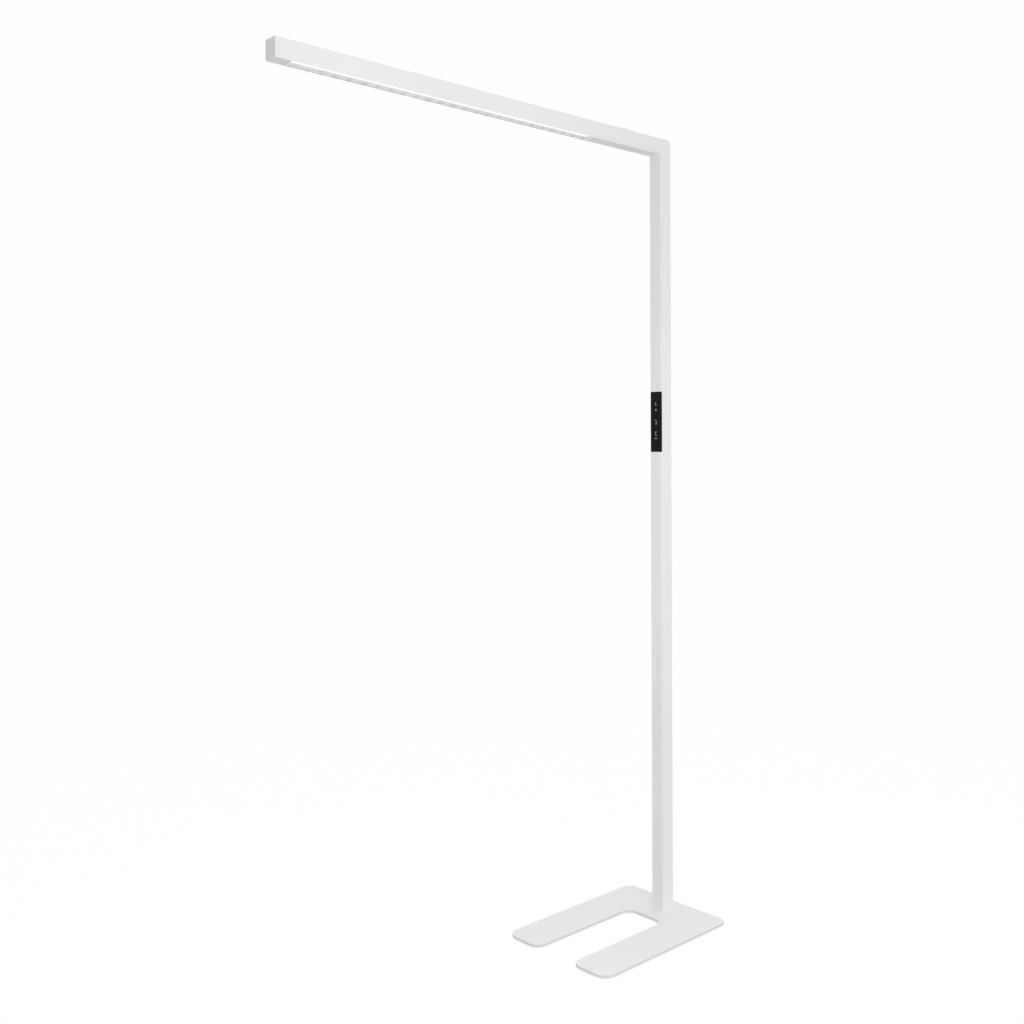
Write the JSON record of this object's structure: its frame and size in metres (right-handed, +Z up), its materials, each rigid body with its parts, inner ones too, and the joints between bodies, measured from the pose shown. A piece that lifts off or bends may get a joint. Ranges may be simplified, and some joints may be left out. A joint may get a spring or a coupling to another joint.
{
  "type": "floor lamp",
  "caption": "Slim office floor lamp: U-shaped steel base, rectangular post, level arm with an LED strip underneath, keypad on the post.",
  "frame": {"origin": "on the floor, on the axis of the post", "axes": "+Z up the post, +X along the arm from the post to the tip, +Y across the lamp"},
  "size_m": [1.181, 0.32, 1.9545],
  "materials": {
    "base_paint": "matt white powder coat on 5 mm steel plate",
    "frame_paint": "matt white powder coat on steel tube",
    "cap_paint": "matt white powder coat on a cast cap",
    "baffle_paint": "satin off-white paint on sheet",
    "foot_rubber": "dark grey non-slip rubber",
    "zinc_steel": "zinc-plated steel",
    "spring_steel": "bright spring steel",
    "cast_metal": "plain aluminium",
    "panel_black": "satin black acrylic",
    "key_black": "satin black key cap",
    "symbol_grey": "light grey translucent light guide",
    "silicone": "grey silicone",
    "circuit_board": "green solder mask",
    "led_phosphor": "yellow phosphor",
    "lens_plastic": "frosted moulded lens, lit",
    "reflector": "satin off-white reflector",
    "white_plastic": "white moulded plastic",
    "sensor_plastic": "white translucent plastic",
    "driver_case": "white plastic case",
    "cable_sheath": "white cable sheath"
  },
  "bodies": {
    "frame": {"base_plate": "base_paint", "foot_pads": "foot_rubber", "post_pad": "foot_rubber", "post_foot_block": "zinc_steel", "post_screws": "zinc_steel", "post_tube": "frame_paint", "arm_tube": "frame_paint", "corner_bracket": "cast_metal", "corner_screws": "zinc_steel", "arm_end_cap": "cap_paint", "cord_gland": "white_plastic", "gland_nut": "white_plastic", "terminal_block": "white_plastic", "control_cover": "panel_black", "status_light": "symbol_grey", "key_mat": "silicone", "control_board": "circuit_board", "lens_strip": "lens_plastic", "side_reflector_near": "reflector", "side_reflector_far": "reflector", "end_baffles": "baffle_paint", "led_carrier": "cast_metal", "led_board": "circuit_board", "led_chips": "led_phosphor", "board_screws": "zinc_steel", "carrier_clips": "spring_steel", "led_driver": "driver_case", "driver_clips": "spring_steel", "sensor_cap": "sensor_plastic", "sensor_board": "circuit_board", "supply_lead": "cable_sheath", "control_lead": "cable_sheath", "led_lead": "cable_sheath"},
    "brighter_key": {"key_brighter": "key_black", "symbol_brighter": "symbol_grey"},
    "power_key": {"key_power": "key_black", "symbol_power": "symbol_grey"},
    "dimmer_key": {"key_dimmer": "key_black", "symbol_dimmer": "symbol_grey"}
  },
  "joints": [
    {"name": "brighter_press", "type": "slide", "parent": "frame", "child": "brighter_key", "axis": [-1, 0, 0], "range_m": [0, 0.0008], "stiffness_N_per_m": 2500},
    {"name": "power_press", "type": "slide", "parent": "frame", "child": "power_key", "axis": [-1, 0, 0], "range_m": [0, 0.0008], "stiffness_N_per_m": 2500},
    {"name": "dimmer_press", "type": "slide", "parent": "frame", "child": "dimmer_key", "axis": [-1, 0, 0], "range_m": [0, 0.0008], "stiffness_N_per_m": 2500}
  ]
}
